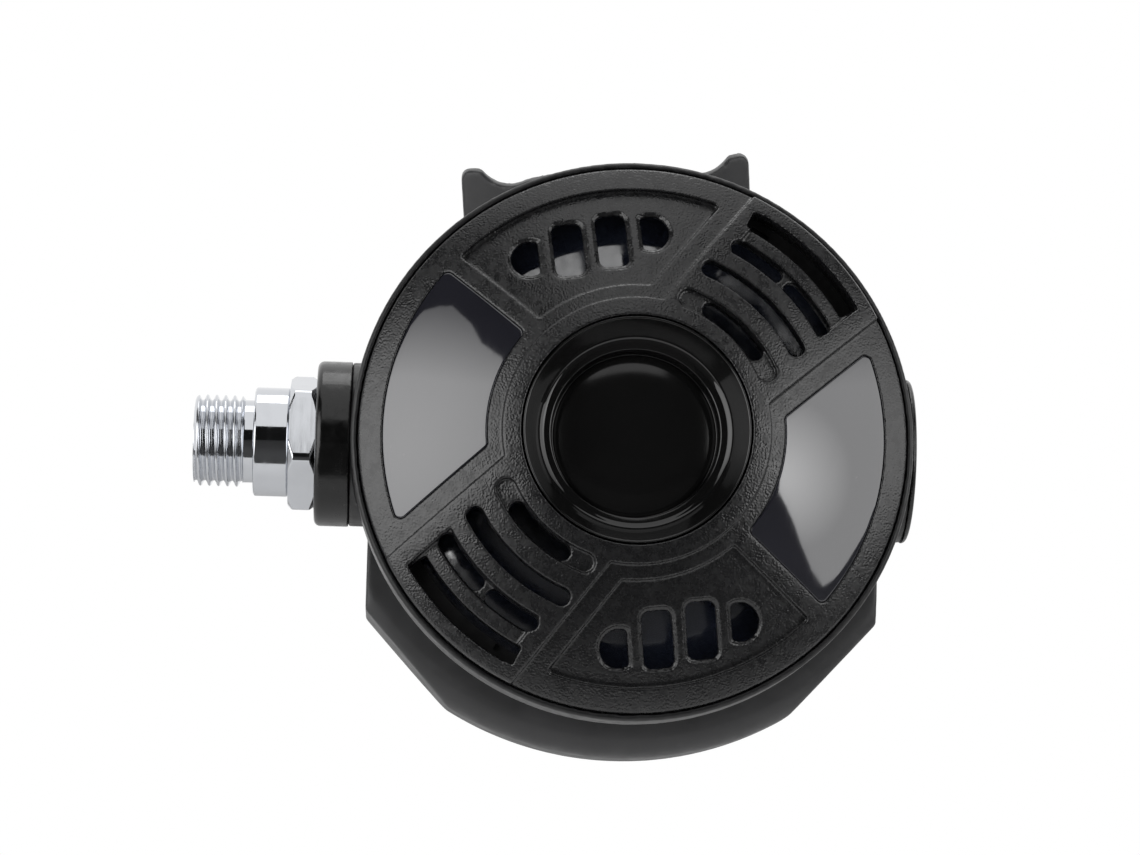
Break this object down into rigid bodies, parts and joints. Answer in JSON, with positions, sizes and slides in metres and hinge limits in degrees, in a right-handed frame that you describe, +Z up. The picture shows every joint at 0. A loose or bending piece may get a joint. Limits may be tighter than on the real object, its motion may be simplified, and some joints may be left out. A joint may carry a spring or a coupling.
{
  "type": "diving demand valve",
  "caption": "Diving demand valve: round case with louvred cover, purge button, sprung lever valve, hose fitting, exhaust tee and mouthpiece.",
  "frame": {"origin": "the outer end of the hose thread, on the valve axis", "axes": "+X along the valve axis from the hose into the case, -Y towards the front cover, +Y towards the diver's mouth, +Z up"},
  "size_m": [0.1117, 0.0833, 0.1031],
  "materials": {
    "case_plastic": "satin black moulded plastic",
    "cover_plastic": "pebble-grained matte black plastic",
    "panel_gloss": "polished charcoal plastic",
    "button_gloss": "polished black plastic",
    "inlay_gloss": "near-black bare disc",
    "spring_steel": "drawn wire",
    "washer_plastic": "slippery white plastic",
    "diaphragm_silicone": "glossy bluish-grey silicone",
    "sheet_steel": "pressed stainless steel",
    "chrome": "bright chrome on brass",
    "collar_satin": "satin black",
    "seal_rubber": "black nitrile",
    "brass": "turned brass",
    "flap_silicone": "soft silicone",
    "tee_rubber": "satin black rubber",
    "mouth_silicone": "satin black silicone",
    "band_nylon": "black nylon"
  },
  "bodies": {
    "housing": {"case": "case_plastic", "front_cover": "cover_plastic", "cover_panels": "panel_gloss", "clamp_ring": "case_plastic", "slip_washer": "washer_plastic", "diaphragm": "diaphragm_silicone", "inlet_fitting": "chrome", "inlet_collar": "collar_satin", "valve_barrel": "chrome", "barrel_seals": "seal_rubber", "orifice": "brass", "orifice_seal": "seal_rubber", "end_cap": "collar_satin", "cap_nut": "case_plastic", "venturi_vane": "case_plastic", "exhaust_tee": "tee_rubber", "mouthpiece": "mouth_silicone", "mouthpiece_band": "band_nylon", "purge_spring": "spring_steel", "poppet_spring": "spring_steel"},
    "button": {"purge_button": "button_gloss", "purge_inlay": "inlay_gloss", "purge_clip": "spring_steel"},
    "plate": {"diaphragm_plate": "sheet_steel"},
    "lever": {"demand_lever": "sheet_steel"},
    "poppet": {"poppet": "brass", "poppet_rubber": "seal_rubber", "lever_washer": "sheet_steel", "lock_nut": "sheet_steel"},
    "flap": {"exhaust_flap": "flap_silicone"}
  },
  "joints": [
    {"name": "purge_push", "type": "slide", "parent": "housing", "child": "button", "axis": [0, 1, 0], "range_m": [0, 0.003], "stiffness_N_per_m": 1200, "springref_m": -0.001, "deforming": ["purge_spring"]},
    {"name": "diaphragm_stroke", "type": "slide", "parent": "housing", "child": "plate", "axis": [0, 1, 0], "range_m": [0, 0.003], "deforming": ["diaphragm"]},
    {"name": "lever_tilt", "type": "hinge", "parent": "housing", "child": "lever", "pos_m": [0.0877, -0.0062, 0], "axis": [0, 0, 1], "range_deg": [-8.7, 0]},
    {"name": "poppet_lift", "type": "slide", "parent": "housing", "child": "poppet", "axis": [1, 0, 0], "range_m": [0, 0.00125], "deforming": ["poppet_spring"]},
    {"name": "exhaust_lift", "type": "slide", "parent": "housing", "child": "flap", "axis": [0, 1, 0], "range_m": [0, 0.0015], "stiffness_N_per_m": 150, "springref_m": -0.0005}
  ],
  "couplings": [
    {"joint": "diaphragm_stroke", "follows": "purge_push", "ratio": 1},
    {"joint": "lever_tilt", "follows": "purge_push", "rad_per_m": -49.751},
    {"joint": "poppet_lift", "follows": "purge_push", "ratio": 0.408}
  ]
}
